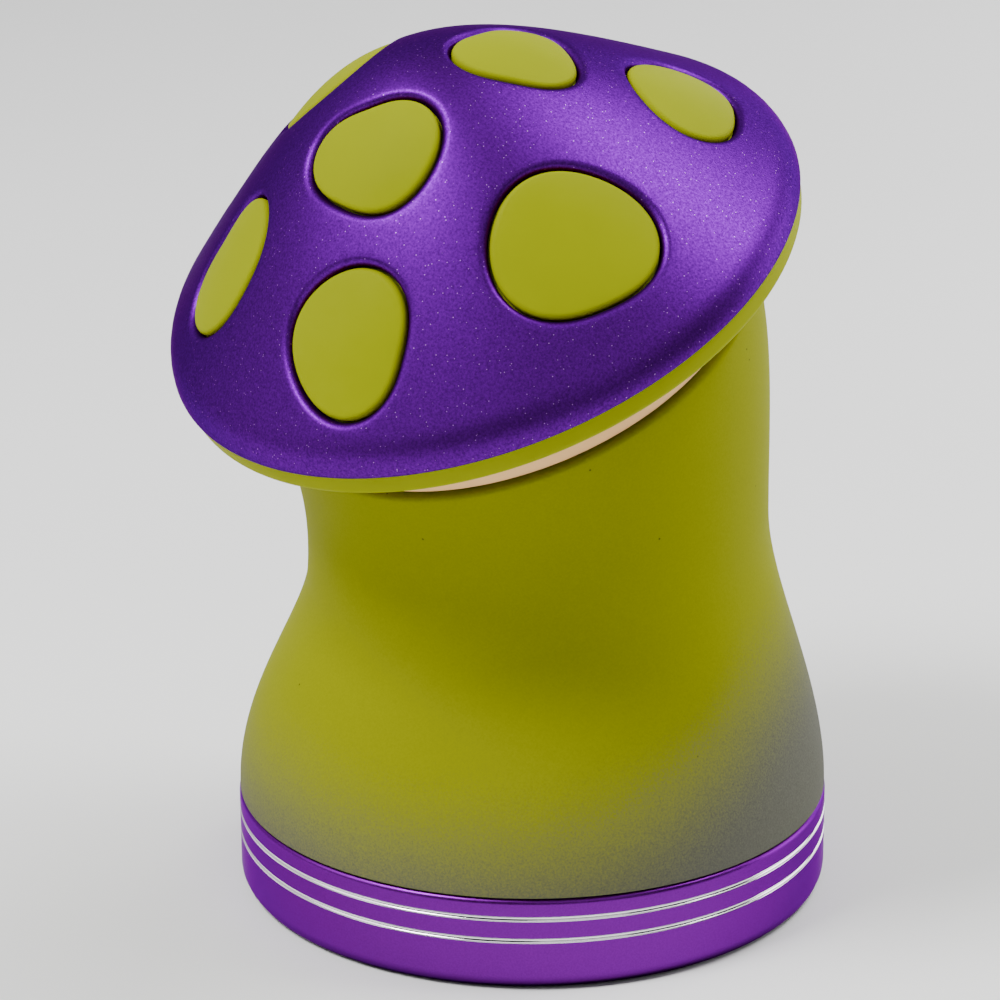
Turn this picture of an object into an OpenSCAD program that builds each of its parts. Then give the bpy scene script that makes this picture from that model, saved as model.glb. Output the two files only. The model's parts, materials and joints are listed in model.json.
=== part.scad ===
// A toadstool-shaped hand grinder. The frame: +Z is up, the origin is the centre of the
// base tray's underside, and the cap leans towards -Y. Sizes are in millimetres, angles in degrees.

/* [Base tray] */
// Outside diameter of the base tray
base_d = 63; // [62:0.5:65]
// Height of the base tray's outside wall
base_h = 10.1; // [9.8:0.1:10.4]
// Thickness of the base tray's floor
floor_t = 2.2; // [1.6:0.1:3]
// Radius of the rounded bottom edge
base_edge_r = 1.6; // [0.8:0.1:2]
// Height of the lower polished groove
low_groove_z = 5.6; // [5.2:0.1:6]
// Height of the upper polished groove
high_groove_z = 8; // [7.6:0.1:8.4]
// Depth of each V groove
groove_depth = 0.28; // [0.2:0.02:0.4]

/* [Screw thread of the base] */
// Radius of the threaded spigot, without its thread
spigot_r = 24.9; // [24.5:0.1:25.1]
// Height of the spigot's top edge
spigot_top_z = 16; // [15:0.1:16.2]
// Rise of the stem for each turn
thread_lead = 2.4; // [2.2:0.1:2.6]
// How far the thread stands out of its wall
thread_h = 0.75; // [0.6:0.05:0.8]

/* [Stem] */
// Radius of the stem at its foot
foot_r = 31.4; // [31.2:0.05:31.45]
// Radius of the stem at its waist
waist_r = 24.6; // [24.4:0.05:25]
// Radius of the stem at its top edge
neck_r = 26.15; // [26:0.05:26.4]
// Where the waist is, as a part of the stem's length
waist_at = 0.46; // [0.42:0.01:0.52]
// How long the stem stays upright above its foot, as a part of its length
foot_pull = 1.37; // [1.2:0.01:1.5]
// How long the stem keeps the neck's tilt below it, as a part of its length
neck_pull = 0.82; // [0.7:0.01:0.95]
// Wall thickness of the stem
stem_wall = 1.8; // [1.6:0.1:2]

/* [Neck] */
// Height of the centre of the stem's top edge
neck_z = 60.8; // [60:0.1:61.5]
// How far that centre lies forwards of the base's axis
neck_forward = 2.7; // [2:0.1:3.5]
// Tilt of the neck and the cap
neck_tilt = 25.6; // [23:0.1:26]

/* [Cap] */
// Largest radius of the purple dome
cap_r = 33.75; // [33.5:0.05:34]
// Height of the dome's edge above the neck plane
cap_edge_h = 9.3; // [9.1:0.1:9.5]
// Steepness that the dome's flank comes to
flank_angle = 45.5; // [44:0.1:47]
// Length over which the rounded top turns into the flank
apex_blend = 10.3; // [9.5:0.1:11]
// Thickness of the purple shell
shell_t = 1.4; // [1.2:0.1:1.5]
// Thickness of the lime liner
liner_t = 1.6; // [1.4:0.1:1.8]
// Outside radius of the lime rim
rim_r = 33.25; // [33.05:0.05:33.35]
// Height of the lime rim's lower edge above the neck plane
rim_h = 7.1; // [6.9:0.1:7.3]
// Gap between a spot and the edge of its window
spot_gap = 0.35; // [0.3:0.05:0.5]

/* [Grinding chamber] */
// Inside radius of the chamber
chamber_r = 21; // [20.9:0.1:21.1]
// Height of the lower teeth
lower_tooth_h = 8.2; // [7:0.1:8.4]
// Height of the upper teeth
upper_tooth_h = 8.8; // [7:0.1:9]
// Half the thickness of a tooth, measured outwards from the axis
tooth_half_t = 1.5; // [1.2:0.1:1.55]
// Half the width of a tooth, measured around the axis
tooth_half_w = 2.1; // [1.6:0.1:2.2]

/* [Hidden] */
$fn = 96;

// neck frame heights, measured along the tilted axis from the stem's top edge
seat_h = -6.5;          // underside of the neck ring and its flange
flange_top_h = -4.9;    // the grinding plate rests here
plate_top_h = -2.4;     // top of the grinding plate
spigot_h = 6.8;         // top of the neck ring
cap_plate_h = 7.4;      // underside of the cap plate
cap_plate_t = 2.5;
core_h = cap_plate_h + cap_plate_t; // underside of the core that the cap plate is screwed to
skirt_h = 3.8;          // lowest edge of the cap's underside
slip_h = 0.3;           // lowest edge of the slip ring
slip_top_h = 7.0;
lip_h = 5.8;            // underside of the slip ring's lip

// neck frame radii
neck_ring_r = neck_r - 1.95;
neck_spigot_r = 22.4;
slip_play = 0.06;               // sliding gap on each side
slip_bore_r = neck_spigot_r + slip_play;
slip_r = 25.5;
slip_lip_r = 26.1;
skirt_bore_r = slip_r + slip_play;
liner_bore_r = 26.4;
skirt_r = 27.5;
cap_plate_r = 24.7;
fit_gap = 0.05;                 // between parts that are pressed or glued together
flange_bore_r = 18.3;
core_bore_r = 20;
core_r = 28.2;
core_top_r = 26;
core_t = 4;

// rings of teeth and drop holes, as [radius, count, first angle]
lower_tooth_rings = [[10.2, 8, 0], [17.6, 12, 0]];
upper_tooth_rings = [[6.7, 5, 0], [13.9, 10, 0]];
drop_hole_rings = [[7, 6, 15], [13.9, 12, 15]];
drop_hole_r = [1.3, 1.7];
plate_screws_at = [19.5, 3, 15]; // radius, count and first angle of the lower plate's screws
plate_shank_r = 0.8;
plate_head_r = 1.3;
cap_screws_at = [21.9, 4, 0];
cap_shank_r = 0.9;
cap_head_r = 1.7;
post_r = 4.4;
magnet_r = 3.4;
magnet_t = 3;
cover_r = 3.9;
cover_t = 0.4;
cover_sink = 0.2;               // how far the lower cover lies below the neck ring's top
lower_cover_h = spigot_h - cover_sink - cover_t;

// thread ring and screen, in the stem's foot
thread_ring_r = 28.6;
thread_ring_z = base_h + 0.4;
thread_ring_top_z = 18.2;
lead_in_z = 12.3;
lead_in_r = 26.2;
thread_start_z = lead_in_z + 0.9;
thread_turns = 0.9;
thread_root_r = 26.0;
shelf_z = 16.5;
shelf_top_z = 17.2;
shelf_r = 24;
frame_seat_r = 26.3;
frame_r = 26.0;
frame_bore_r = 23.4;
frame_z = shelf_top_z + 0.1;
frame_top_z = 19.2;
mesh_z = frame_z + 0.7;
mesh_t = 0.2;
mesh_r = 24.8;
o_ring_r = 0.8;
o_ring_z = base_h + 0.95;
o_ring_centre_r = spigot_r + 0.2;
tray_bore_r = spigot_r - 1.5;

// Each spot of the dome: distance from the apex along the surface, angle around the axis from the
// lean's side, mean radius, ovalness and its turn, three-sidedness and its turn
lower_spots = [
    [28.2, -32.8, 6.55, 0.20, 176, 0.03, 76],
    [29.8, 19.1, 6.95, 0.07, 173, 0.05, 19],
    [27.35, 78.8, 8.0, 0.06, 73, 0.04, 51],
    [30.0, 142.8, 6.4, 0.08, 87, 0.035, 42],
    [30.4, 201, 6.2, 0.06, 170, 0.05, 20],
    [29.8, 240, 6.4, 0.12, 20, 0.04, 70],
    [30.3, 278, 6.2, 0.08, 120, 0.05, 45]
];
upper_spots = [
    [10.95, 21, 6.5, 0.10, 99, 0.075, 22],
    [12.15, 147.6, 6.25, 0.04, 36, 0.095, 70],
    [13.8, 267, 7.0, 0.02, 24, 0.06, 51]
];

// ---- The stem's centre line, from its upright foot to the tilted neck ----
stem_foot_z = base_h + 0.3;
neck_axis = [0, -sin(neck_tilt), cos(neck_tilt)];
neck_centre = [0, -neck_forward, neck_z];
foot_centre = [0, 0, stem_foot_z];
stem_length = norm(neck_centre - foot_centre);
stem_rings = 20;
stem_sides = 56;

function smooth(x) = x * x * (3 - 2 * x);
function clamp01(x) = min(1, max(0, x));
function stem_centre(t) =
    (2 * pow(t, 3) - 3 * t * t + 1) * foot_centre
    + (pow(t, 3) - 2 * t * t + t) * foot_pull * stem_length * [0, 0, 1]
    + (3 * t * t - 2 * pow(t, 3)) * neck_centre
    + (pow(t, 3) - t * t) * neck_pull * stem_length * neck_axis;
function stem_tilt(t) = neck_tilt * smooth(t);
function stem_radius(t) =
    t < waist_at
        ? foot_r + (waist_r - foot_r) * smooth(t / waist_at)
        : waist_r + (neck_r - waist_r) * smooth((t - waist_at) / (1 - waist_at));
function stem_ring(t, inset) = [
    for (i = [0 : stem_sides - 1])
        let (a = 360 * i / stem_sides, r = stem_radius(t) - inset)
            stem_centre(t) + [
                r * cos(a),
                r * sin(a) * cos(stem_tilt(t)),
                r * sin(a) * sin(stem_tilt(t))
            ]
];

// ---- The dome's outline: a rounded top, a flank and a tightly rounded shoulder ----
shoulder_start = 38.9;
shoulder_power = 1.3;
rim_angle = 90;
dome_arc = 43;
dome_steps = 172;
function dome_angle(s) =
    flank_angle * (1 - exp(-s / apex_blend))
    + (rim_angle - flank_angle)
        * pow(clamp01((s - shoulder_start) / (dome_arc - shoulder_start)), shoulder_power);
// points [radius, drop below the apex, surface angle], before they are scaled to cap_r
ds = dome_arc / dome_steps;
raw_dome = [
    for (
        i = 0, r = 0, d = 0;
        i <= dome_steps;
        r = r + ds * cos(dome_angle((i + 0.5) * ds)),
        d = d + ds * sin(dome_angle((i + 0.5) * ds)),
        i = i + 1
    ) [r, d, dome_angle(i * ds)]
];
dome_scale = cap_r / raw_dome[dome_steps][0];
dome_top_h = cap_edge_h + dome_scale * raw_dome[dome_steps][1];
function dome_point(i, inset) =
    let (p = raw_dome[i])
        [
            dome_scale * p[0] - inset * sin(p[2]),
            dome_top_h - dome_scale * p[1] - inset * cos(p[2])
        ];
dome_stride = 4;
last_row = floor(dome_steps / dome_stride);
function dome_curve(inset, lowest_h) = [
    for (k = [0 : last_row])
        let (p = dome_point(min(dome_steps, k * dome_stride), inset))
            if (p[1] > lowest_h) p
];

// ---- Shared shapes ----
module on_neck() {
    translate(neck_centre) rotate([neck_tilt, 0, 0]) children();
}

module tube(r_out, r_in, z_low, z_high) {
    translate([0, 0, z_low])
        difference() {
            cylinder(r = r_out, h = z_high - z_low);
            translate([0, 0, -1]) cylinder(r = r_in, h = z_high - z_low + 2);
        }
}

module disc(r, z_low, z_high) {
    translate([0, 0, z_low]) cylinder(r = r, h = z_high - z_low);
}

// Copies round the axis; place is [radius, count, first angle]
module around(place) {
    for (i = [0 : place[1] - 1])
        rotate([0, 0, place[2] + i * 360 / place[1]]) translate([place[0], 0, 0]) children();
}

// Outline of a spot: a circle that is a little oval and a little three-sided
function spot_outline(spot, grow) = [
    for (i = [0 : 47])
        let (
            t = i * 7.5,
            r = spot[2] * (1 + spot[3] * cos(2 * (t - spot[4])) + spot[5] * cos(3 * (t - spot[6])))
        )
            (r + grow) * [cos(t), sin(t)]
];

// A straight prism through the dome, square to the surface at the spot's centre
module spot_prism(spot, grow) {
    row = round(spot[0] / dome_scale / ds);
    place = dome_point(row, 0);
    depth = 5;
    height = 9;
    rotate([0, 0, spot[1] - 90])
        translate([place[0], 0, place[1]])
            rotate([0, raw_dome[row][2], 0])
                translate([0, 0, -depth])
                    linear_extrude(height = height) polygon(spot_outline(spot, grow));
}

// Everything between two insets of the dome
module dome_layer(inset_out, inset_in, lowest_h) {
    outer = dome_curve(inset_out, lowest_h);
    inner = dome_curve(inset_in, lowest_h);
    rotate_extrude()
        polygon(concat(
            outer,
            [[cap_r - inset_out, lowest_h], [cap_r - inset_in, lowest_h]],
            [for (k = [len(inner) - 1 : -1 : 0]) inner[k]]
        ));
}

// A helical ridge on a wall: the ridge points out of a shaft or into a bore
module thread_ridge(wall_r, direction, z_start, turns, first_angle) {
    steps_per_turn = 32;
    steps = round(turns * steps_per_turn);
    root_half = 0.75;
    crest_half = 0.4;
    sunk = 0.2;
    section = [
        [-sunk, -root_half],
        [thread_h, -crest_half],
        [thread_h, crest_half],
        [-sunk, root_half]
    ];
    points = [
        for (i = [0 : steps], p = section)
            let (
                a = first_angle + 360 * i / steps_per_turn,
                run_out = clamp01(min(i, steps - i) / 4),
                r = wall_r + direction * (-sunk + (p[0] + sunk) * (0.25 + 0.75 * run_out))
            )
                [r * cos(a), r * sin(a), z_start + thread_lead * i / steps_per_turn + p[1]]
    ];
    sides = [
        for (i = [0 : steps - 1], j = [0 : 3])
            let (a = 4 * i + j, b = 4 * i + (j + 1) % 4)
                direction > 0 ? [a, b, b + 4, a + 4] : [a, a + 4, b + 4, b]
    ];
    first_end = direction > 0 ? [3, 2, 1, 0] : [0, 1, 2, 3];
    last_end = [for (j = first_end) 4 * steps + 3 - j];
    polyhedron(points = points, faces = concat(sides, [first_end], [last_end]), convexity = 8);
}

// A toothed ring of diamonds
module teeth(rings, z_low, height) {
    for (ring = rings)
        around(ring)
            translate([0, 0, z_low])
                linear_extrude(height = height)
                    polygon([
                        [tooth_half_t, 0],
                        [0, tooth_half_w],
                        [-tooth_half_t, 0],
                        [0, -tooth_half_w]
                    ]);
}

module countersunk_screw(shank_r, head_r, length) {
    head_h = head_r - shank_r;
    rotate_extrude()
        polygon([
            [0, 0], [head_r, 0], [shank_r, -head_h], [shank_r, -length], [0, -length]
        ]);
}

// ---- Base ----
module base_tray() {
    r = base_d / 2;
    chamfer = 0.5;
    o_ring_play = 0.03;
    color([0.50, 0.18, 0.67])
        union() {
            rotate_extrude()
                difference() {
                    union() {
                        polygon([
                            [0, 0],
                            [r - base_edge_r, 0],
                            [r - base_edge_r, base_edge_r],
                            [r, base_edge_r],
                            [r, base_h - chamfer],
                            [r - chamfer, base_h],
                            [spigot_r, base_h],
                            [spigot_r, spigot_top_z],
                            [tray_bore_r, spigot_top_z],
                            [tray_bore_r, floor_t],
                            [0, floor_t]
                        ]);
                        translate([r - base_edge_r, base_edge_r]) circle(r = base_edge_r);
                    }
                    for (z = [low_groove_z, high_groove_z])
                        polygon([
                            [r + 0.1, z - groove_depth - 0.1],
                            [r - groove_depth, z],
                            [r + 0.1, z + groove_depth + 0.1]
                        ]);
                    translate([o_ring_centre_r, o_ring_z]) circle(r = o_ring_r + o_ring_play);
                }
            thread_ridge(spigot_r, 1, thread_start_z, thread_turns, 0);
        }
}

module base_o_ring() {
    color([0.08, 0.08, 0.09])
        rotate_extrude() translate([o_ring_centre_r, o_ring_z]) circle(r = o_ring_r);
}

// ---- Screen, which rises with the stem ----
module screen_frame() {
    color([0.78, 0.79, 0.80])
        rotate_extrude()
            polygon([
                [frame_bore_r, frame_z],
                [frame_r, frame_z],
                [frame_r, frame_top_z],
                [mesh_r + 0.1, frame_top_z],
                [mesh_r + 0.1, mesh_z],
                [frame_bore_r, mesh_z]
            ]);
}

module screen_mesh() {
    color([0.66, 0.67, 0.68]) disc(mesh_r, mesh_z, mesh_z + mesh_t);
}

module screen_clip() {
    wire = 0.8;
    gap = 5;
    color([0.55, 0.56, 0.58])
        difference() {
            tube(mesh_r, mesh_r - 1.1, mesh_z + mesh_t, mesh_z + mesh_t + wire);
            translate([mesh_r - 2, -gap / 2, mesh_z]) cube([4, gap, 3]);
        }
}

// ---- Stem ----
module stem_shell() {
    outer_rings = [for (k = [0 : stem_rings]) stem_ring(k / stem_rings, 0)];
    inner_rings = [for (k = [stem_rings : -1 : 0]) stem_ring(k / stem_rings, stem_wall)];
    rings = concat(outer_rings, inner_rings);
    points = [for (ring = rings, p = ring) p];
    count = len(rings);
    faces = [
        for (k = [0 : count - 1], i = [0 : stem_sides - 1])
            let (
                j = (i + 1) % stem_sides,
                a = k * stem_sides,
                b = ((k + 1) % count) * stem_sides
            )
                each [[a + i, b + i, b + j], [a + i, b + j, a + j]]
    ];
    color([0.66, 0.66, 0.04])
        difference() {
            polyhedron(points = points, faces = faces, convexity = 6);
            disc(thread_ring_r, stem_foot_z - 1, thread_ring_top_z);
            on_neck() disc(neck_ring_r, seat_h, 1);
        }
}

module thread_ring() {
    color([0.74, 0.75, 0.76])
        union() {
            rotate_extrude()
                polygon([
                    [lead_in_r, thread_ring_z],
                    [thread_ring_r, thread_ring_z],
                    [thread_ring_r, thread_ring_top_z],
                    [frame_seat_r, thread_ring_top_z],
                    [frame_seat_r, shelf_top_z],
                    [shelf_r, shelf_top_z],
                    [shelf_r, shelf_z],
                    [thread_root_r, shelf_z],
                    [thread_root_r, lead_in_z],
                    [lead_in_r, lead_in_z]
                ]);
            thread_ridge(thread_root_r, -1, thread_start_z, thread_turns, 180);
        }
}

module neck_ring() {
    color([0.74, 0.75, 0.76])
        on_neck()
            difference() {
                rotate_extrude()
                    polygon([
                        [flange_bore_r, seat_h],
                        [neck_ring_r, seat_h],
                        [neck_ring_r, 0],
                        [neck_spigot_r, 0],
                        [neck_spigot_r, spigot_h - 0.4],
                        [neck_spigot_r - 0.4, spigot_h],
                        [chamber_r, spigot_h],
                        [chamber_r, flange_top_h],
                        [flange_bore_r, flange_top_h]
                    ]);
                around(plate_screws_at)
                    disc(plate_shank_r, seat_h - 1, flange_top_h + 1);
            }
}

module grinding_plate() {
    plate_sink = plate_head_r - plate_shank_r;
    post_top_h = spigot_h - cover_sink;
    color([0.76, 0.77, 0.78])
        on_neck()
            difference() {
                union() {
                    disc(chamber_r - fit_gap, flange_top_h, plate_top_h);
                    teeth(lower_tooth_rings, plate_top_h - 0.5, lower_tooth_h + 0.5);
                    disc(post_r, plate_top_h - 0.5, post_top_h);
                }
                for (k = [0 : 1])
                    around(drop_hole_rings[k])
                        disc(drop_hole_r[k], flange_top_h - 1, plate_top_h + 1);
                disc(cover_r, lower_cover_h, post_top_h + 1);
                disc(magnet_r, lower_cover_h - magnet_t, post_top_h);
                around(plate_screws_at) {
                    disc(plate_shank_r, flange_top_h - 1, plate_top_h + 1);
                    translate([0, 0, plate_top_h - plate_sink])
                        cylinder(r1 = plate_shank_r, r2 = plate_head_r, h = plate_sink);
                }
            }
}

module plate_screws() {
    color([0.62, 0.63, 0.65])
        on_neck()
            around(plate_screws_at)
                translate([0, 0, plate_top_h])
                    countersunk_screw(plate_shank_r, plate_head_r, plate_top_h - seat_h - 0.1);
}

module lower_magnet() {
    color([0.70, 0.70, 0.72])
        on_neck() disc(magnet_r, lower_cover_h - magnet_t, lower_cover_h);
}

module lower_magnet_cover() {
    color([0.80, 0.80, 0.82])
        on_neck() disc(cover_r, lower_cover_h, lower_cover_h + cover_t);
}

// ---- Slip ring, which the cap turns on ----
module slip_ring() {
    color([0.88, 0.74, 0.58])
        on_neck()
            rotate_extrude()
                polygon([
                    [slip_bore_r, slip_h],
                    [slip_r - 0.3, slip_h],
                    [slip_r, slip_h + 0.3],
                    [slip_r, lip_h],
                    [slip_lip_r, lip_h],
                    [slip_lip_r - 0.5, slip_top_h],
                    [slip_bore_r, slip_top_h]
                ]);
}

// ---- Cap ----
module cap_shell() {
    color([0.40, 0.14, 0.65])
        on_neck()
            difference() {
                dome_layer(0, shell_t, cap_edge_h);
                for (spot = concat(lower_spots, upper_spots)) spot_prism(spot, spot_gap);
            }
}

module cap_liner() {
    inset = shell_t + fit_gap;
    edge_h = cap_edge_h - fit_gap;
    outer = dome_curve(inset, edge_h);
    inner = dome_curve(inset + liner_t, core_h);
    color([0.72, 0.73, 0.03])
        on_neck()
            rotate_extrude()
                polygon(concat(
                    outer,
                    [
                        [cap_r - inset, edge_h],
                        [rim_r, edge_h],
                        [rim_r, rim_h + 0.8],
                        [rim_r - 0.25, rim_h + 0.25],
                        [rim_r - 0.8, rim_h],
                        [skirt_r, skirt_h],
                        [skirt_bore_r, skirt_h],
                        [skirt_bore_r, lip_h - 0.3],
                        [liner_bore_r, lip_h - 0.3],
                        [liner_bore_r, core_h],
                        [inner[len(inner) - 1][0], core_h]
                    ],
                    [for (k = [len(inner) - 1 : -1 : 0]) inner[k]]
                ));
}

module cap_core() {
    color([0.60, 0.61, 0.63])
        on_neck()
            difference() {
                rotate_extrude()
                    polygon([
                        [core_bore_r, core_h],
                        [core_r, core_h],
                        [core_r, core_h + core_t / 2],
                        [core_top_r, core_h + core_t],
                        [core_bore_r, core_h + core_t]
                    ]);
                around(cap_screws_at) disc(cap_shank_r, core_h - 1, core_h + core_t + 1);
            }
}

module spot_pad(spot) {
    pad_sink = 0.02;
    color([0.78, 0.79, 0.01])
        on_neck()
            intersection() {
                dome_layer(pad_sink, shell_t + pad_sink, cap_edge_h);
                spot_prism(spot, 0);
            }
}

module cap_plate() {
    hub_h = cap_plate_h + cover_t + magnet_t + 1;
    color([0.76, 0.77, 0.78])
        on_neck()
            difference() {
                union() {
                    disc(cap_plate_r, cap_plate_h, cap_plate_h + cap_plate_t);
                    teeth(upper_tooth_rings, cap_plate_h - upper_tooth_h, upper_tooth_h + 0.5);
                    disc(post_r, cap_plate_h + 1, hub_h);
                }
                disc(cover_r, cap_plate_h - 1, cap_plate_h + cover_t);
                disc(magnet_r, cap_plate_h, cap_plate_h + cover_t + magnet_t);
                around(cap_screws_at) {
                    disc(cap_shank_r, cap_plate_h - 1, cap_plate_h + cap_plate_t + 1);
                    translate([0, 0, cap_plate_h])
                        cylinder(r1 = cap_head_r, r2 = cap_shank_r, h = cap_head_r - cap_shank_r);
                }
            }
}

module cap_screws() {
    color([0.62, 0.63, 0.65])
        on_neck()
            around(cap_screws_at)
                translate([0, 0, cap_plate_h])
                    mirror([0, 0, 1]) countersunk_screw(cap_shank_r, cap_head_r, 6);
}

module upper_magnet() {
    color([0.70, 0.70, 0.72])
        on_neck() disc(magnet_r, cap_plate_h + cover_t, cap_plate_h + cover_t + magnet_t);
}

module upper_magnet_cover() {
    color([0.80, 0.80, 0.82])
        on_neck() disc(cover_r, cap_plate_h, cap_plate_h + cover_t);
}

base_tray();
base_o_ring();
screen_frame();
screen_mesh();
screen_clip();
stem_shell();
thread_ring();
neck_ring();
grinding_plate();
plate_screws();
lower_magnet();
lower_magnet_cover();
slip_ring();
cap_shell();
cap_liner();
cap_core();
cap_plate();
cap_screws();
upper_magnet();
upper_magnet_cover();
spot_pad(lower_spots[0]);  // lower_spot_1
spot_pad(lower_spots[1]);  // lower_spot_2
spot_pad(lower_spots[2]);  // lower_spot_3
spot_pad(lower_spots[3]);  // lower_spot_4
spot_pad(lower_spots[4]);  // lower_spot_5
spot_pad(lower_spots[5]);  // lower_spot_6
spot_pad(lower_spots[6]);  // lower_spot_7
spot_pad(upper_spots[0]);  // upper_spot_1
spot_pad(upper_spots[1]);  // upper_spot_2
spot_pad(upper_spots[2]);  // upper_spot_3
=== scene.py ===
"""A toadstool-shaped hand grinder: the looks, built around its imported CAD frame.

Sizes are in millimetres and angles in degrees, under the names that the CAD source gives them.
They turn into Blender's metres in one place, where a piece's mesh is made."""

import bisect
import json
import math

import bmesh
import bpy
from mathutils import Matrix, Vector
from mathutils.geometry import delaunay_2d_cdt


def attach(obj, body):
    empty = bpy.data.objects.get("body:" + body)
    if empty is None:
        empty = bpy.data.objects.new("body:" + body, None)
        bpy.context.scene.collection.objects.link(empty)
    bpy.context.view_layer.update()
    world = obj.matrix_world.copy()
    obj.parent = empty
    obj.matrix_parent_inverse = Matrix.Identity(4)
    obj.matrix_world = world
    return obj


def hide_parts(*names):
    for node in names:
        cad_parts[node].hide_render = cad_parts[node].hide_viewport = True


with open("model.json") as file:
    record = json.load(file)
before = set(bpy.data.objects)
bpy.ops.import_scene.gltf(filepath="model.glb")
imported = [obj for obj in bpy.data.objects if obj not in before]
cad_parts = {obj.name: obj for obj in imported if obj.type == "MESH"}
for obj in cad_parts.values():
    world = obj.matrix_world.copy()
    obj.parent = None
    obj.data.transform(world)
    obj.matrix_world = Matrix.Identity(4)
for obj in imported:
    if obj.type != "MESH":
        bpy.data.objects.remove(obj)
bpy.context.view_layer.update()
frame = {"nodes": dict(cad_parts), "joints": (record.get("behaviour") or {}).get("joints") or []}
joints = {joint["name"]: joint for joint in frame["joints"]}

MM = 0.001
STAND = Matrix.Identity(4)

# ---- Driving dimensions ----
base_d, base_h = 63.0, 10.1
groove_heights = (5.6, 8.0)
groove_depth, groove_steps = 0.28, 12
floor_t = 2.2
spigot_r, spigot_top_z, tray_bore_r = 24.9, 16.0, 23.4
thread_h, thread_lead, thread_start_z = 0.75, 2.4, 13.2
stem_foot_z = base_h + 0.3
foot_r, waist_r, neck_r, waist_at = 31.4, 24.6, 26.15, 0.46
foot_pull, neck_pull = 1.37, 0.82
stem_wall = 1.8
cap_r, cap_edge_h, shell_t, liner_t = 33.75, 9.3, 1.4, 1.6
rim_r, rim_h, skirt_r, skirt_h = 33.25, 7.1, 27.5, 3.8
skirt_bore_r, liner_bore_r = 25.56, 26.4
slip_r, slip_bore_r, slip_h, slip_top_h, lip_h = 25.5, 22.46, 0.3, 7.0, 5.8
core_h = 9.9
spot_gap = 0.22
lip_r = 0.85       # rolled edge of a window in the cap
pad_edge_r = 0.6   # rounded edge of a spot


# ---- Places that come from the frame ----
neck_axis = Vector(joints["cap_turn"]["axis"]).normalized()
neck_centre = Vector(joints["cap_turn"]["pos_m"]) / MM
across = Vector((1, 0, 0))
uphill = neck_axis.cross(across)
NECK = Matrix.Translation(neck_centre) @ Matrix((across, uphill, neck_axis)).transposed().to_4x4()


# ---- The dome's outline ----
flank_angle, rim_angle, apex_blend = 45.5, 90.0, 10.3
shoulder_start, shoulder_power, dome_arc, dome_steps = 38.9, 1.3, 43.0, 430


def dome_angle(s):
    """Slope of the dome at arc length s from its apex, before scaling."""
    shoulder = max(0.0, (s - shoulder_start) / (dome_arc - shoulder_start)) ** shoulder_power
    return flank_angle * (1 - math.exp(-s / apex_blend)) + (rim_angle - flank_angle) * shoulder


def dome_outline():
    """Rows of (arc length, radius, height, slope in radians) from the apex to the edge."""
    step = dome_arc / dome_steps
    rows = [(0.0, 0.0, 0.0, 0.0)]
    r = drop = 0.0
    for i in range(dome_steps):
        slope = math.radians(dome_angle((i + 0.5) * step))
        r += step * math.cos(slope)
        drop += step * math.sin(slope)
        rows.append(((i + 1) * step, r, drop, math.radians(dome_angle((i + 1) * step))))
    k = cap_r / r
    return [(k * s, k * r, cap_edge_h + k * (drop - d), slope) for s, r, d, slope in rows]


DOME = dome_outline()
DOME_S = [row[0] for row in DOME]
DOME_R = [row[1] for row in DOME]
dome_length = DOME_S[-1]


def between(keys, x):
    """The dome's row where keys, which rise, come to x."""
    i = min(max(bisect.bisect_right(keys, x) - 1, 0), len(DOME) - 2)
    f = min(max((x - keys[i]) / (keys[i + 1] - keys[i]), 0.0), 1.0)
    return [a + f * (b - a) for a, b in zip(DOME[i], DOME[i + 1])]


def on_dome(s, azimuth, lift=0.0):
    """A point at arc length s and azimuth (0 on the lean's side), lifted square to the surface."""
    _, r, h, slope = between(DOME_S, s)
    r += lift * math.sin(slope)
    return Vector((r * math.sin(azimuth), -r * math.cos(azimuth), h + lift * math.cos(slope)))


# ---- The spots ----
# Each has its arc from the apex, azimuth, mean radius, ovalness and its turn, three-sidedness and
# its turn.
lower_spots = [
    (28.2, -32.8, 6.55, 0.20, 176, 0.03, 76),
    (29.8, 19.1, 6.95, 0.07, 173, 0.05, 19),
    (27.35, 78.8, 8.0, 0.06, 73, 0.04, 51),
    (30.0, 142.8, 6.4, 0.08, 87, 0.035, 42),
    (30.4, 201, 6.2, 0.06, 170, 0.05, 20),
    (29.8, 240, 6.4, 0.12, 20, 0.04, 70),
    (30.3, 278, 6.2, 0.08, 120, 0.05, 45),
]
upper_spots = [
    (10.95, 21, 6.5, 0.10, 99, 0.075, 22),
    (12.15, 147.6, 6.25, 0.04, 36, 0.095, 70),
    (13.8, 267, 7.0, 0.02, 24, 0.06, 51),
]
spots = {f"lower_spot_{i + 1}": spot for i, spot in enumerate(lower_spots)}
spots.update({f"upper_spot_{i + 1}": spot for i, spot in enumerate(upper_spots)})
SPOT_SIDES = 96


def spot_radius(spot, t):
    """The spot's radius in the direction t, an angle in radians."""
    oval = spot[3] * math.cos(2 * (t - math.radians(spot[4])))
    three = spot[5] * math.cos(3 * (t - math.radians(spot[6])))
    return spot[2] * (1 + oval + three)


def spot_point(spot, x, y):
    """Arc length and azimuth where a line square to the dome at the spot's centre meets it."""
    _, r0, h0, slope = between(DOME_S, spot[0])
    low, high = -30.0, 6.0
    for _ in range(36):
        mid = (low + high) / 2
        out = r0 + x * math.cos(slope) + mid * math.sin(slope)
        h = h0 - x * math.sin(slope) + mid * math.cos(slope)
        row = between(DOME_R, math.hypot(out, y))
        if h > row[2]:
            high = mid
        else:
            low = mid
    return row[0], math.radians(spot[1]) + math.atan2(y, out)


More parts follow.
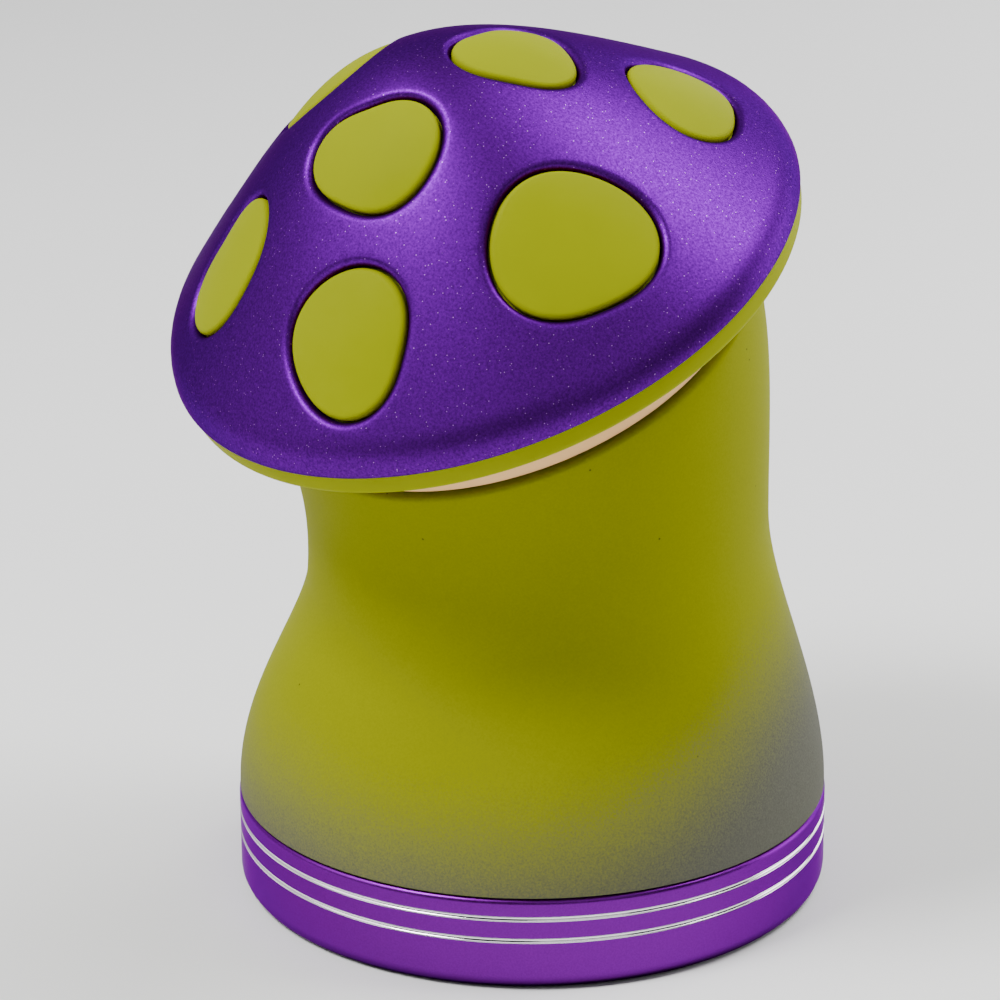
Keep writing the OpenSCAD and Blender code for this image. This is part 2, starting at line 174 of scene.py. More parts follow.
def spot_loop(spot, grow, part=1.0):
    """A closed loop of (arc length, azimuth) round the spot."""
    loop = []
    for i in range(SPOT_SIDES):
        t = 2 * math.pi * i / SPOT_SIDES
        r = part * spot_radius(spot, t) + grow
        loop.append(spot_point(spot, r * math.cos(t), r * math.sin(t)))
    return loop


# ---- Mesh helpers ----
class Builder:
    """Collects points, in millimetres, and faces, and makes one object of them."""

    def __init__(self):
        self.points = []
        self.faces = []

    def loop(self, points):
        start = len(self.points)
        self.points.extend(points)
        return list(range(start, len(self.points)))

    def bridge(self, a, b, closed=True):
        """Quads between two loops of the same length; b lies to the left of a's direction."""
        last = len(a) if closed else len(a) - 1
        for i in range(last):
            j = (i + 1) % len(a)
            self.faces.append((a[i], a[j], b[j], b[i]))

    def fan(self, centre, loop):
        tip = self.loop([centre])[0]
        for i in range(len(loop)):
            self.faces.append((tip, loop[i], loop[(i + 1) % len(loop)]))

    def make(self, name, place, sharp=40):
        mesh = bpy.data.meshes.new(name)
        to_world = Matrix.Scale(MM, 4) @ place
        mesh.from_pydata([to_world @ Vector(p) for p in self.points], [], self.faces)
        mesh.validate()
        work = bmesh.new()
        work.from_mesh(mesh)
        bmesh.ops.recalc_face_normals(work, faces=work.faces)
        work.to_mesh(mesh)
        work.free()
        mesh.shade_smooth()
        mesh.set_sharp_from_angle(angle=math.radians(sharp))
        piece = bpy.data.objects.new(name, mesh)
        bpy.context.collection.objects.link(piece)
        return piece


def rounded(corners, steps=5):
    """A closed outline of (r, h) with each corner (r, h, radius) turned into an arc."""
    outline = []
    count = len(corners)
    for i, (r, h, radius) in enumerate(corners):
        here = Vector((r, h))
        if radius <= 0:
            outline.append((r, h))
            continue
        back = (Vector(corners[i - 1][:2]) - here).normalized()
        ahead = (Vector(corners[(i + 1) % count][:2]) - here).normalized()
        half = back.angle(ahead) / 2
        reach = radius / math.tan(half)
        centre = here + (back + ahead).normalized() * radius / math.sin(half)
        first = here + back * reach - centre
        last = here + ahead * reach - centre
        sweep = first.angle_signed(last)
        for k in range(steps + 1):
            turn = Matrix.Rotation(-sweep * k / steps, 2)
            point = centre + turn @ first
            outline.append((point.x, point.y))
    return outline


def lathe(name, outline, place, segments=256, closed=True, sharp=40):
    """Turns an outline of (r, h) about the axis. A point with no radius becomes a pole."""
    build = Builder()
    loops = []
    for r, h in outline:
        if r < 1e-6:
            loops.append(build.loop([Vector((0, 0, h))]))
            continue
        angles = [2 * math.pi * i / segments for i in range(segments)]
        loops.append(build.loop([Vector((r * math.cos(a), r * math.sin(a), h)) for a in angles]))
    count = len(loops)
    for k in range(count if closed else count - 1):
        a, b = loops[k], loops[(k + 1) % count]
        if len(a) == 1 and len(b) == 1:
            continue
        if len(a) == 1 or len(b) == 1:
            tip, ring = (a[0], b) if len(a) == 1 else (b[0], a)
            for i in range(segments):
                build.faces.append((tip, ring[i], ring[(i + 1) % segments]))
        else:
            build.bridge(a, b)
    return build.make(name, place, sharp)


def finish_piece(piece, body, slot, material, *nodes):
    """Gives a piece its material and its body, and hides the CAD nodes that it stands for; the
    slot is not used.
    """
    piece.data.materials.clear()
    for one in material if isinstance(material, (list, tuple)) else [material]:
        piece.data.materials.append(one)
    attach(piece, body)
    if nodes:
        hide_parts(*nodes)
    return piece


# ---- Material helpers ----
class Nodes:
    """A short way to write a node tree. Coordinates are the object's own, in metres."""

    def __init__(self, name):
        self.material = bpy.data.materials.new(name)
        self.material.use_nodes = True
        self.tree = self.material.node_tree
        self.shader = self.tree.nodes["Principled BSDF"]
        self.place = self.add("ShaderNodeTexCoord").outputs["Object"]

    def add(self, kind, **settings):
        node = self.tree.nodes.new(kind)
        for key, value in settings.items():
            setattr(node, key, value)
        return node

    def link(self, source, target):
        self.tree.links.new(source, target)

    def feed(self, socket, value):
        if isinstance(value, bpy.types.NodeSocket):
            self.link(value, socket)
        else:
            socket.default_value = value

    def math(self, operation, a, b=0.0):
        node = self.add("ShaderNodeMath", operation=operation)
        self.feed(node.inputs[0], a)
        self.feed(node.inputs[1], b)
        return node.outputs[0]

    def noise(self, scale, detail=2.0, roughness=0.5, vector=None):
        node = self.add("ShaderNodeTexNoise")
        self.link(vector or self.place, node.inputs["Vector"])
        node.inputs["Scale"].default_value = scale
        node.inputs["Detail"].default_value = detail
        node.inputs["Roughness"].default_value = roughness
        return node.outputs["Fac"]

    def cells(self, scale):
        """Random values, one for each small cell, and the distance from the cell's middle."""
        node = self.add("ShaderNodeTexVoronoi")
        self.link(self.place, node.inputs["Vector"])
        node.inputs["Scale"].default_value = scale
        split = self.add("ShaderNodeSeparateColor")
        self.link(node.outputs["Color"], split.inputs["Color"])
        return split.outputs["Red"], node.outputs["Distance"]

    def span(self, value, low, high, to_low=0.0, to_high=1.0, kind="LINEAR"):
        node = self.add("ShaderNodeMapRange", interpolation_type=kind)
        self.feed(node.inputs["Value"], value)
        node.inputs["From Min"].default_value = low
        node.inputs["From Max"].default_value = high
        node.inputs["To Min"].default_value = to_low
        node.inputs["To Max"].default_value = to_high
        return node.outputs["Result"]

    def mix(self, factor, a, b):
        node = self.add("ShaderNodeMix", data_type="RGBA")
        self.feed(node.inputs["Factor"], factor)
        for socket, value in ((node.inputs["A"], a), (node.inputs["B"], b)):
            if isinstance(value, tuple):
                value = (*value, 1.0)
            self.feed(socket, value)
        return node.outputs["Result"]

    def axes(self):
        node = self.add("ShaderNodeSeparateXYZ")
        self.link(self.place, node.inputs["Vector"])
        return node.outputs

    def turned(self, centre, axis):
        """Distance from an axis and height along it, for lathe marks."""
        move = self.add("ShaderNodeVectorMath", operation="SUBTRACT")
        self.link(self.place, move.inputs[0])
        move.inputs[1].default_value = centre
        along = self.add("ShaderNodeVectorMath", operation="DOT_PRODUCT")
        self.link(move.outputs[0], along.inputs[0])
        along.inputs[1].default_value = axis
        length = self.add("ShaderNodeVectorMath", operation="LENGTH")
        self.link(move.outputs[0], length.inputs[0])
        height = along.outputs["Value"]
        squares = self.math("MULTIPLY", length.outputs["Value"], length.outputs["Value"])
        rest = self.math("SUBTRACT", squares, self.math("MULTIPLY", height, height))
        return self.math("SQRT", rest), height

    def turning(self, out, height, scale, detail, roughness):
        """Noise drawn out into rings round the axis that out and height were measured from."""
        node = self.add("ShaderNodeCombineXYZ")
        self.link(self.math("MULTIPLY", out, scale), node.inputs["X"])
        self.link(self.math("MULTIPLY", height, scale), node.inputs["Y"])
        return self.noise(1.0, detail, roughness, node.outputs["Vector"])

    def bump(self, height, strength, distance):
        node = self.add("ShaderNodeBump")
        self.link(height, node.inputs["Height"])
        node.inputs["Strength"].default_value = strength
        node.inputs["Distance"].default_value = distance
        self.link(node.outputs["Normal"], self.shader.inputs["Normal"])

    def set(self, **values):
        names = {
            "color": "Base Color", "metallic": "Metallic", "roughness": "Roughness",
            "specular": "Specular IOR Level", "tint": "Specular Tint",
        }
        for key, value in values.items():
            if isinstance(value, tuple):
                value = (*value, 1.0)
            self.feed(self.shader.inputs[names[key]], value)
        return self.material


def purple_paint():
    """Satin metallic lacquer over a fine sprayed grain, with pale flakes scattered in it."""
    n = Nodes("purple_paint")
    grain = n.noise(4200, 3, 0.7)
    tone = n.mix(n.span(grain, 0.36, 0.64), (0.054, 0.0003, 0.132), (0.106, 0.0006, 0.252))
    flake, away = n.cells(4200)
    sparkle = n.math("MULTIPLY", n.span(flake, 0.93, 0.94), n.span(away, 0.16, 0.30, 1.0, 0.0))
    color = n.mix(n.math("MULTIPLY", sparkle, 0.6), tone, (0.60, 0.28, 0.80))
    rough = n.span(grain, 0.3, 0.7, 0.47, 0.41)
    n.bump(grain, 0.22, 0.00004)
    return n.set(color=color, metallic=1.0, roughness=rough, tint=(0.36, 0.020, 0.38))


def lime_plastic(name, color, rough=0.52):
    """Soft matte moulding with a very fine spark-eroded grain."""
    n = Nodes(name)
    grain = n.noise(5200, 2, 0.6)
    patch = n.noise(90, 2)
    dark = tuple(c * 0.93 for c in color)
    tone = n.mix(n.span(patch, 0.3, 0.7), dark, color)
    n.bump(grain, 0.12, 0.00003)
    return n.set(color=tone, roughness=rough, specular=0.02)


def stem_paint():
    """Soft-touch lime paint, airbrushed to a speckled warm grey at the foot.

    The grey climbs from the lean's side round to the far side, and the mist roughens its edge."""
    n = Nodes("stem_paint")
    axes = n.axes()
    mist = n.noise(4600, 3, 0.8)
    drift = n.noise(45, 2)
    height = n.math("ADD", axes[2], n.span(drift, 0.3, 0.7, -0.0010, 0.0010))
    height = n.math("ADD", height, n.span(mist, 0.3, 0.7, -0.0036, 0.0036))
    level = n.span(axes[1], -0.023, 0.018, 0.0150, 0.0275, "SMOOTHSTEP")
    fade = n.span(n.math("SUBTRACT", height, level), -0.0100, 0.0088, 1.0, 0.0, "SMOOTHSTEP")
    grain = n.noise(4200, 3, 0.7)
    lime = n.mix(n.span(grain, 0.3, 0.7), (0.200, 0.215, 0.0002), (0.230, 0.247, 0.0002))
    grey = n.mix(n.span(mist, 0.35, 0.65), (0.086, 0.086, 0.068), (0.120, 0.120, 0.097))
    tone = n.mix(fade, lime, grey)
    # a few dark specks, each in a cell of about a millimetre and a half
    speck, away = n.cells(700)
    speck_here = n.math("MULTIPLY", n.span(speck, 0.975, 0.98), n.span(away, 0.06, 0.10, 1.0, 0.0))
    tone = n.mix(n.math("MULTIPLY", speck_here, 0.8), tone, (0.03, 0.03, 0.012))
    n.bump(grain, 0.30, 0.00005)
    return n.set(color=tone, roughness=0.60, specular=0.02)


def anodised(name, color, centre, axis, rough=0.30):
    """Dyed anodising over fine turning marks, with painted shade that turns the foot almost black
    where it rounds under.
    """
    n = Nodes(name)
    out, height = n.turned(centre, axis)
    lines = n.turning(out, height, 9000, 2, 0.6)
    blast = n.noise(6000, 2)
    light = tuple(min(1.0, c * 1.18) for c in color)
    tone = n.mix(n.span(blast, 0.35, 0.65), color, light)
    n.bump(lines, 0.10, 0.00002)
    # painted shade: the foot's rounded underside goes almost black, standing in for the contact
    # shadow on the floor
    foot = n.span(height, 0.0002, 0.0018, 0.12, 1.0, "SMOOTHSTEP")
    tone = n.mix(foot, (0.006, 0.0006, 0.012), tone)
    return n.set(
        color=tone, metallic=1.0, roughness=n.span(blast, 0.3, 0.7, rough, rough + 0.08),
        tint=(0.55, 0.12, 0.72),
    )


def turned_metal(name, color, centre, axis, rough=0.24, marks=0.25):
    """Bare metal with turning marks round an axis."""
    n = Nodes(name)
    out, height = n.turned(centre, axis)
    lines = n.turning(out, height, 7000, 3, 0.7)
    smear = n.noise(160, 2)
    n.bump(lines, marks, 0.00003)
    tone = n.mix(n.span(smear, 0.3, 0.7), tuple(c * 0.9 for c in color), color)
    return n.set(color=tone, metallic=1.0, roughness=n.span(lines, 0.3, 0.7, rough, rough + 0.12))


def polished_metal(name, color, rough=0.08):
    """Smooth bright metal, faintly smeared."""
    n = Nodes(name)
    smear = n.noise(300, 2)
    return n.set(color=color, metallic=1.0, roughness=n.span(smear, 0.3, 0.7, rough, rough + 0.06))


def cream_plastic():
    """Smooth peach-toned moulding of the slip ring."""
    n = Nodes("cream_plastic")
    grain = n.noise(5000, 2, 0.6)
    patch = n.noise(120, 2)
    tone = n.mix(n.span(patch, 0.3, 0.7), (0.95, 0.53, 0.21), (0.98, 0.57, 0.23))
    n.bump(grain, 0.10, 0.00003)
    return n.set(color=tone, roughness=0.42, specular=0.4)


def rubber():
    """Black moulded rubber of the O-ring."""
    n = Nodes("black_rubber")
    grain = n.noise(3000, 2, 0.6)
    n.bump(grain, 0.15, 0.00004)
    tone = n.mix(n.span(grain, 0.3, 0.7), (0.012, 0.012, 0.013), (0.022, 0.022, 0.024))
    return n.set(color=tone, roughness=0.55)


def woven_steel():
    """Plain weave of fine wires, with painted shade, near black, in the open gaps between them."""
    n = Nodes("woven_steel")
    axes = n.axes()
    pitch = 0.00045
    waves = [n.math("SINE", n.math("MULTIPLY", axes[i], 2 * math.pi / pitch)) for i in (0, 1)]
    wires = n.math("MAXIMUM", *waves)
    # painted shade: the open gaps between the wires are painted near black for the dark seen
    # through them
    tone = n.mix(n.span(wires, -0.1, 0.5), (0.02, 0.02, 0.02), (0.62, 0.63, 0.65))
    n.bump(wires, 0.6, 0.00008)
    return n.set(color=tone, metallic=1.0, roughness=0.32)


# ---- Cap ----
def window_loops():
    """For each spot: the loops of its window's rolled edge, from the flat surface to the wall."""
    steps = 6
    loops = {}
    for name, spot in spots.items():
        rows = []
        for k in range(steps + 1):
            turn = math.pi / 2 * k / steps
            grow = spot_gap + lip_r * (1 - math.sin(turn))
            rows.append((spot_loop(spot, grow), -lip_r * (1 - math.cos(turn))))
        loops[name] = rows
    return loops


def flat(point):
    """A dome point (arc length, azimuth) on the plane that the dome unrolls to."""
    return Vector((point[0] * math.cos(point[1]), point[0] * math.sin(point[1])))


def inside(point, polygon):
    hit = False
    j = len(polygon) - 1
    for i in range(len(polygon)):
        a, b = polygon[i], polygon[j]
        if (a.y > point.y) != (b.y > point.y):
            if point.x < (b.x - a.x) * (point.y - a.y) / (b.y - a.y) + a.x:
                hit = not hit
        j = i
    return hit


def cap_shell(material):
    """The dome and its windows: a fine net, then the windows' lips and walls, and the inside."""
    spacing = 0.7      # of the net's points
    clear = 0.4        # of a spacing, between the net's points and a window
    edge_fillet, edge_steps = 0.3, 4
    rim_sides = 300
    edge_s = dome_length - edge_fillet
    windows = window_loops()
    holes = [[flat(p) for p in rows[0][0]] for rows in windows.values()]
    middles = []
    for hole in holes:
        middle = sum(hole, Vector((0, 0))) / len(hole)
        middles.append((middle, max((p - middle).length for p in hole)))

    def near_hole(point, margin):
        for hole, (middle, reach) in zip(holes, middles):
            away = (point - middle).length
            if away > reach + margin:
                continue
            if inside(point, hole) or min((p - point).length for p in hole) < margin:
                return True
        return False

    seeds = []
    marks = []
    edges = []

    def add_loop(loop):
        start = len(seeds)
        seeds.extend(flat(p) for p in loop)
        marks.extend(loop)
        count = len(loop)
        edges.extend((start + i, start + (i + 1) % count) for i in range(count))
        return list(range(start, start + count))

    hole_starts = [add_loop(rows[0][0]) for rows in windows.values()]
    rim = [(edge_s, 2 * math.pi * i / rim_sides) for i in range(rim_sides)]
    rim_start = add_loop(rim)
    ring_count = round(edge_s / spacing)
    for k in range(ring_count):
        s = edge_s * k / ring_count
        sides = max(1, round(2 * math.pi * s / spacing))
        for i in range(sides):
            azimuth = 2 * math.pi * (i + 0.5 * (k % 2)) / sides
            if not near_hole(flat((s, azimuth)), clear * spacing):
                seeds.append(flat((s, azimuth)))
                marks.append((s, azimuth))
    net = delaunay_2d_cdt(seeds, edges, [], 0, 1e-7, True)
    seed_of = [ids[0] for ids in net[3]]
    place_of = {}
    for out, ids in enumerate(net[3]):
        for one in ids:
            place_of[one] = out

    build = Builder()
    outer = build.loop([on_dome(*marks[i]) for i in seed_of])
    inner = build.loop([on_dome(*marks[i], -shell_t) for i in seed_of])
    for face in net[2]:
        middle = sum((net[0][i] for i in face), Vector((0, 0))) / len(face)
        if near_hole(middle, 0.0):
            continue
        build.faces.append([outer[i] for i in face])
        build.faces.append([inner[i] for i in reversed(face)])
    for start, rows in zip(hole_starts, windows.values()):
        last = [outer[place_of[i]] for i in start]
        for loop, lift in rows[1:]:
            ring = build.loop([on_dome(s, a, lift) for s, a in loop])
            build.bridge(last, ring)
            last = ring
        foot = build.loop([on_dome(s, a, -shell_t) for s, a in rows[-1][0]])
        build.bridge(last, foot)
        build.bridge(foot, [inner[place_of[i]] for i in start])
    last = [outer[place_of[i]] for i in rim_start]
    edge_rings = []
    for k in range(1, edge_steps + 1):
        turn = math.pi / 2 * k / edge_steps
        r = cap_r - edge_fillet * (1 - math.cos(turn))
        edge_rings.append((r, cap_edge_h + edge_fillet * (1 - math.sin(turn))))
    edge_rings.append((cap_r - shell_t, cap_edge_h))
    for r, h in edge_rings:
        ring = build.loop([Vector((r * math.sin(a), -r * math.cos(a), h)) for _, a in rim])
        build.bridge(last, ring)
        last = ring
    build.bridge(last, [inner[place_of[i]] for i in rim_start])
    piece = build.make("cap_dome", NECK, 50)
    finish_piece(piece, "cap", "purple_paint", material, "cap_shell")


def spot_pad(name, spot, material):
    """A pillow-topped spot that follows the dome, with a rounded edge."""
    crown = 0.24
    pad_top = -0.12
    top_steps, edge_steps = 10, 6
    flat_part = 1 - pad_edge_r / spot[2]
    build = Builder()
    loops = []
    for k in range(1, top_steps + 1):
        part = k / top_steps
        lift = pad_top + crown * (1 - part ** 2)
        loop = spot_loop(spot, 0, part * flat_part)
        loops.append(build.loop([on_dome(s, a, lift) for s, a in loop]))
    for k in range(1, edge_steps + 1):
        turn = math.pi / 2 * k / edge_steps
        grow = -pad_edge_r * (1 - math.sin(turn))
        lift = pad_top - pad_edge_r * (1 - math.cos(turn))
        loops.append(build.loop([on_dome(s, a, lift) for s, a in spot_loop(spot, grow)]))
    loops.append(build.loop([on_dome(s, a, -shell_t) for s, a in spot_loop(spot, 0)]))
    middle = (spot[0], math.radians(spot[1]))
    build.fan(on_dome(*middle, pad_top + crown), loops[0])
    for a, b in zip(loops, loops[1:]):
        build.bridge(a, b)
    build.fan(on_dome(*middle, -shell_t), list(reversed(loops[-1])))
    piece = build.make(name + "_pad", NECK, 60)
    finish_piece(piece, "cap", "lime_spot", material, name)


def cap_liner(material):
    """The lime liner: its dome lies under the shell, and its rim shows below the shell's edge."""
    fit = 0.05         # between the shell and the liner
    inset = shell_t + fit
    stride = 10        # of the dome's rows
    seat_h = lip_h - 0.3
    outer = []
    inner = []
    for _, r, h, slope in DOME[::stride]:
        for line, depth in ((outer, inset), (inner, inset + liner_t)):
            point = (max(0.0, r - depth * math.sin(slope)), h - depth * math.cos(slope))
            if point[1] > (cap_edge_h if line is outer else core_h):
                line.append(point)
    edge_h = cap_edge_h - fit
    rim = rounded([
        (cap_r - inset, edge_h, 0),
        (rim_r, edge_h, 0.12),
        (rim_r, rim_h, 0.7),
        (skirt_r, skirt_h, 0.5),
        (skirt_bore_r, skirt_h, 0.2),
        (skirt_bore_r, seat_h, 0),
        (liner_bore_r, seat_h, 0),
        (liner_bore_r, core_h, 0),
    ])
    piece = lathe("cap_rim_and_liner", outer + rim + inner[::-1], NECK, closed=False)
    finish_piece(piece, "cap", "lime_rim", material, "cap_liner")


def slip_ring(material):
    """The collar that the cap turns on. The lip at its top keeps the liner's skirt on it."""
    outline = rounded([
        (slip_bore_r, slip_h, 0.2),
        (slip_r, slip_h, 0.35),
        (slip_r, lip_h, 0),
        (slip_r + 0.6, lip_h, 0.1),
        (slip_r + 0.1, slip_top_h, 0.1),
        (slip_bore_r, slip_top_h, 0.2),
    ])
    piece = lathe("slip_collar", outline, NECK)
    finish_piece(piece, "slip_ring", "cream_plastic", material, "slip_ring")


# ---- Stem ----
def smooth(x):
    """An even step from 0 to 1."""
    return x * x * (3 - 2 * x)


def stem_centre(t):
    """The centre line, from its upright foot at t = 0 to the tilted neck at t = 1."""
    foot = Vector((0, 0, stem_foot_z))
    length = (neck_centre - foot).length
    return (
        (2 * t ** 3 - 3 * t * t + 1) * foot
        + (t ** 3 - 2 * t * t + t) * foot_pull * length * Vector((0, 0, 1))
        + (3 * t * t - 2 * t ** 3) * neck_centre
        + (t ** 3 - t * t) * neck_pull * length * neck_axis
    )


def stem_radius(t):
    if t < waist_at:
        return foot_r + (waist_r - foot_r) * smooth(t / waist_at)
    return waist_r + (neck_r - waist_r) * smooth((t - waist_at) / (1 - waist_at))


def stem_ring(t, inset, sides, rise=0.0):
    """A ring of points square to the centre line, inset from the outside and raised along it."""
    tilt = neck_axis.angle(Vector((0, 0, 1))) * smooth(t)
    across_y = Vector((0, math.cos(tilt), math.sin(tilt)))
    along = Vector((0, -math.sin(tilt), math.cos(tilt)))
    centre = stem_centre(t)
    r = stem_radius(t) - inset
    ring = []
    for i in range(sides):
        a = 2 * math.pi * i / sides
        ring.append(centre + r * (math.cos(a) * across + math.sin(a) * across_y) + rise * along)
    return ring


def stem_shell(material):
    """The stem's outside with its rounded edges, and its inside, in one closed skin."""
    sides, rows = 192, 110
    inside_rows = rows // 4
    top_fillet, foot_fillet, fillet_steps = 0.45, 0.12, 4
    foot_drop = 0.15   # how far the foot's edge reaches into the joint with the base
    first_t, last_t = 0.012, 0.988
    build = Builder()
    loops = []
    for k in range(fillet_steps + 1):
        turn = math.pi / 2 * k / fillet_steps
        inset = foot_fillet * (1 - math.sin(turn))
        loops.append(stem_ring(0, inset, sides, foot_fillet * (1 - math.cos(turn)) - foot_drop))
    for k in range(1, rows):
        t = first_t + (last_t - first_t) * k / rows
        loops.append(stem_ring(t, 0, sides))
    for k in range(fillet_steps + 1):
        turn = math.pi / 2 * k / fillet_steps
        inset = top_fillet * (1 - math.cos(turn))
        loops.append(stem_ring(1, inset, sides, -top_fillet * (1 - math.sin(turn))))
    for k in range(inside_rows, -1, -1):
        loops.append(stem_ring(k / inside_rows, stem_wall, sides))
    rings = [build.loop(ring) for ring in loops]
    for k, ring in enumerate(rings):
        build.bridge(ring, rings[(k + 1) % len(rings)])
    piece = build.make("stem_body", STAND, 50)
    finish_piece(piece, "stem", "stem_paint", material, "stem_shell")


# ---- Base tray ----
def base_tray(purple, polished):
    """The turned tray, with its half-round grooves cut bright through the purple."""
    r = base_d / 2
    corners = [(r, groove_heights[0] - 1.2, 0)]
    for z in groove_heights:
        for k in range(groove_steps + 1):
            turn = math.pi * k / groove_steps
            corners.append(
                (r - groove_depth * math.sin(turn), z - groove_depth * math.cos(turn), 0)
            )
    corners += [
        (r, base_h, 0.55),
        (spigot_r, base_h, 0),
        (spigot_r, spigot_top_z, 0.25),
        (tray_bore_r, spigot_top_z, 0.25),
        (tray_bore_r, floor_t, 1.5),
        (0, floor_t, 0),
        (0, 0, 0),
        (r, 0, 1.6),
    ]
    outline = rounded(corners, 6)
    piece = lathe("base_cup", outline, STAND, 320, sharp=30)
    finish_piece(piece, "base", "purple_anodised", [purple, polished], "base_tray")
    reach = groove_depth + 0.02
    for face in piece.data.polygons:
        middle = face.center / MM
        out = math.hypot(middle.x, middle.y)
        for z in groove_heights:
            if abs(middle.z - z) < reach and out > r - groove_depth - 0.1:
                face.material_index = 1
    finish_piece(thread_ridge(), "base", "purple_anodised", purple)


def thread_ridge():
    """The single-start thread on the base tray's spigot, which fades out at both ends."""
    turns, per_turn = 0.9, 96
    steps = round(turns * per_turn)
    root = 0.2         # how far the ridge is sunk into the spigot
    fade_steps, lowest = 12, 0.25
    section = [(-root, -0.75), (thread_h, -0.4), (thread_h, 0.4), (-root, 0.75)]
    build = Builder()
    loops = []
    for i in range(steps + 1):
        a = 2 * math.pi * i / per_turn
        run_out = min(1.0, min(i, steps - i) / fade_steps)
        z = thread_start_z + thread_lead * i / per_turn
        ring = []
        for out, up in section:
            r = spigot_r - root + (out + root) * (lowest + (1 - lowest) * run_out)
            ring.append(Vector((r * math.cos(a), r * math.sin(a), z + up)))
        loops.append(build.loop(ring))
    for a, b in zip(loops, loops[1:]):
        build.bridge(a, b)
    build.faces.append(loops[0])
    build.faces.append(loops[-1][::-1])
    return build.make("base_thread", STAND, 30)


# ---- Metal parts that keep their CAD shape, a few with their edges broken ----
def eased(node, body, slot, material, width=0.12):
    """A copy of a CAD node with small bevels on its hard edges."""
    source = frame["nodes"][node]
    mesh = source.data.copy()
    mesh.name = node + "_eased"
    work = bmesh.new()
    work.from_mesh(mesh)
    bmesh.ops.remove_doubles(work, verts=work.verts, dist=1e-6)
    bmesh.ops.dissolve_limit(
        work, angle_limit=math.radians(1), verts=work.verts, edges=work.edges
    )
    work.to_mesh(mesh)
    work.free()
    piece = bpy.data.objects.new(node + "_eased", mesh)
    bpy.context.collection.objects.link(piece)
    bevel = piece.modifiers.new("eased", "BEVEL")
    bevel.width = width * MM
    bevel.segments = 2
    bevel.limit_method = "ANGLE"
    bevel.angle_limit = math.radians(40)
    mesh.shade_smooth()
    mesh.set_sharp_from_angle(angle=math.radians(35))
    finish_piece(piece, body, slot, material, node)


def repaint(node, material):
    """Gives a CAD node that keeps its shape a material."""
    mesh = frame["nodes"][node].data
    mesh.materials.clear()
    mesh.materials.append(material)


# ---- Stage, lights and camera ----
def stage():
    """A pale matt floor."""
    mesh = bpy.data.meshes.new("floor")
    reach = 3.0
    mesh.from_pydata(
        [(-reach, -reach, 0), (reach, -reach, 0), (reach, reach, 0), (-reach, reach, 0)],
        [], [(0, 1, 2, 3)],
    )
    floor = bpy.data.objects.new("floor", mesh)
    bpy.context.collection.objects.link(floor)
    n = Nodes("floor")
    patch = n.noise(6, 2)
    tone = n.mix(n.span(patch, 0.3, 0.7), (0.86, 0.86, 0.86), (0.89, 0.89, 0.89))
    mesh.materials.append(n.set(color=tone, roughness=0.6))


def softbox(name, azimuth, elevation, size, power):
    aim = Vector((0, 0, 0.045))
    distance = 0.70
    a, e = math.radians(azimuth), math.radians(elevation)
    away = Vector((math.sin(a) * math.cos(e), -math.cos(a) * math.cos(e), math.sin(e)))
    lamp = bpy.data.lights.new(name, "AREA")
    lamp.shape = "SQUARE"
    lamp.size = size
    lamp.energy = power
    holder = bpy.data.objects.new(name, lamp)
    holder.location = aim + away * distance
    holder.rotation_euler = away.to_track_quat("Z", "Y").to_euler()
    holder.visible_camera = False
    bpy.context.collection.objects.link(holder)


def tent(view_azimuth):
    """A white tent round the part, open and dim on the side that it is seen from."""
    world = bpy.data.worlds.new("tent")
    world.use_nodes = True
    tree = world.node_tree
    a = math.radians(view_azimuth - 135)
    facing = tree.nodes.new("ShaderNodeVectorMath")
    facing.operation = "DOT_PRODUCT"
    facing.inputs[1].default_value = (math.sin(a), -math.cos(a), 0.0)
    tree.links.new(tree.nodes.new("ShaderNodeTexCoord").outputs["Generated"], facing.inputs[0])
    level = tree.nodes.new("ShaderNodeMapRange")
    level.interpolation_type = "SMOOTHSTEP"
    level.inputs["From Min"].default_value = 0.0
    level.inputs["From Max"].default_value = 0.8
    level.inputs["To Min"].default_value = 0.03
    level.inputs["To Max"].default_value = 0.70
    tree.links.new(facing.outputs["Value"], level.inputs["Value"])
    tree.links.new(level.outputs["Result"], tree.nodes["Background"].inputs["Strength"])
    tree.nodes["Background"].inputs["Color"].default_value = (1, 1, 1, 1)
    bpy.context.scene.world = world


def lights(view_azimuth):
    """Soft lamps: name, azimuth, elevation, width in metres, power in watts."""
    softbox("key", view_azimuth - 60, 55, 0.22, 5.4)
    softbox("left_fill", view_azimuth - 80, 40, 0.40, 1.5)
    softbox("right_high", view_azimuth + 95, 55, 0.22, 2.45)
    softbox("back_high", view_azimuth + 130, 55, 0.22, 1.35)
    softbox("right_low", view_azimuth + 110, 12, 0.40, 2.3)
    softbox("back_low", view_azimuth + 150, 12, 0.40, 1.6)
    softbox("top_right", view_azimuth + 90, 68, 0.40, 1.2)
    softbox("front_fill", view_azimuth + 20, 36, 0.40, 0.45)
    tent(view_azimuth)


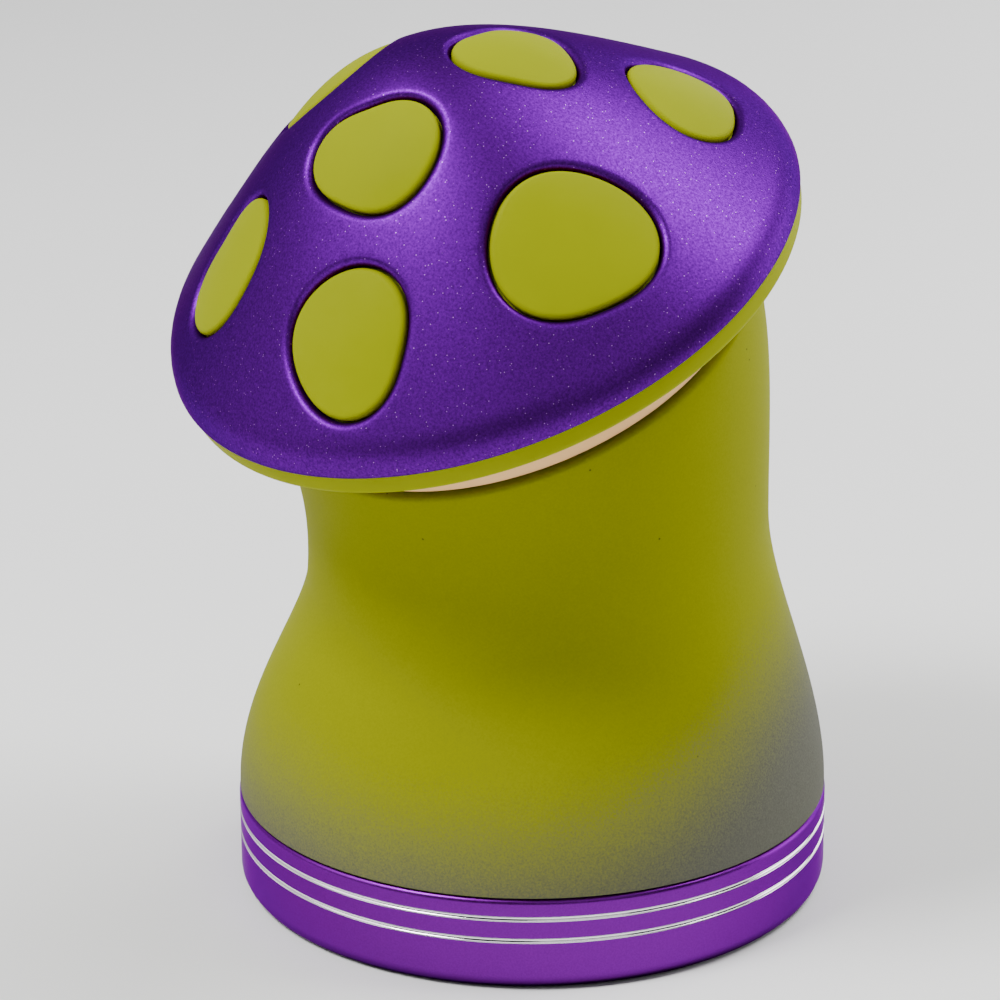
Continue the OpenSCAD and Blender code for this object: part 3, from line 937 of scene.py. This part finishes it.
def camera():
    """The view, in millimetres and degrees, and its azimuth for the lights."""
    azimuth, elevation, distance, roll = 47.03, 19.72, 428.0, -0.37
    a, e = math.radians(azimuth), math.radians(elevation)
    away = Vector((math.sin(a) * math.cos(e), -math.cos(a) * math.cos(e), math.sin(e)))
    target = Vector((-2.23, -2.39, 41.67))
    data = bpy.data.cameras.new("camera")
    data.sensor_width = 36
    data.lens = 146.4
    data.clip_start = 0.01
    view = bpy.data.objects.new("camera", data)
    view.location = (target + away * distance) * MM
    turn = Matrix.Rotation(math.radians(roll), 3, away)
    view.rotation_euler = (turn @ away.to_track_quat("Z", "Y").to_matrix()).to_euler()
    bpy.context.collection.objects.link(view)
    bpy.context.scene.camera = view
    return azimuth


view_azimuth = camera()
lights(view_azimuth)
stage()

up = (0.0, 0.0, 1.0)
origin = (0.0, 0.0, 0.0)
neck_at = tuple(neck_centre * MM)
neck_up = tuple(neck_axis)

purple = purple_paint()
lime = (0.250, 0.280, 0.0002)
cap_shell(purple)
for spot_name, spot in spots.items():
    spot_pad(spot_name, spot, lime_plastic("lime_spot", lime))
cap_liner(lime_plastic("lime_rim", (0.270, 0.300, 0.0002), 0.48))
slip_ring(cream_plastic())
stem_shell(stem_paint())
base_tray(
    anodised("purple_anodised", (0.125, 0.004, 0.215), origin, up),
    polished_metal("polished_groove", (0.90, 0.88, 0.93)),
)

bare_up = turned_metal("bare_aluminium", (0.80, 0.81, 0.82), origin, up)
bare_neck = turned_metal("bare_aluminium_neck", (0.80, 0.81, 0.82), neck_at, neck_up)
milled = turned_metal("machined_aluminium", (0.78, 0.79, 0.80), neck_at, neck_up, 0.30, 0.35)
steel = polished_metal("screw_steel", (0.60, 0.61, 0.63), 0.22)
cover = turned_metal("cover_steel", (0.72, 0.72, 0.73), neck_at, neck_up, 0.20, 0.3)
nickel = polished_metal("magnet_nickel", (0.68, 0.66, 0.62), 0.12)
spring = polished_metal("spring_steel", (0.42, 0.43, 0.45), 0.26)

eased("grinding_plate", "stem", "machined_aluminium", milled)
eased("cap_plate", "cap", "machined_aluminium", milled)
eased("neck_ring", "stem", "bare_aluminium", bare_neck, 0.08)
repaint("thread_ring", bare_up)
repaint("screen_frame", bare_up)
repaint("cap_core", bare_neck)
repaint("screen_mesh", woven_steel())
repaint("screen_clip", spring)
repaint("plate_screws", steel)
repaint("cap_screws", steel)
repaint("lower_magnet", nickel)
repaint("upper_magnet", nickel)
repaint("lower_magnet_cover", cover)
repaint("upper_magnet_cover", cover)
repaint("base_o_ring", rubber())
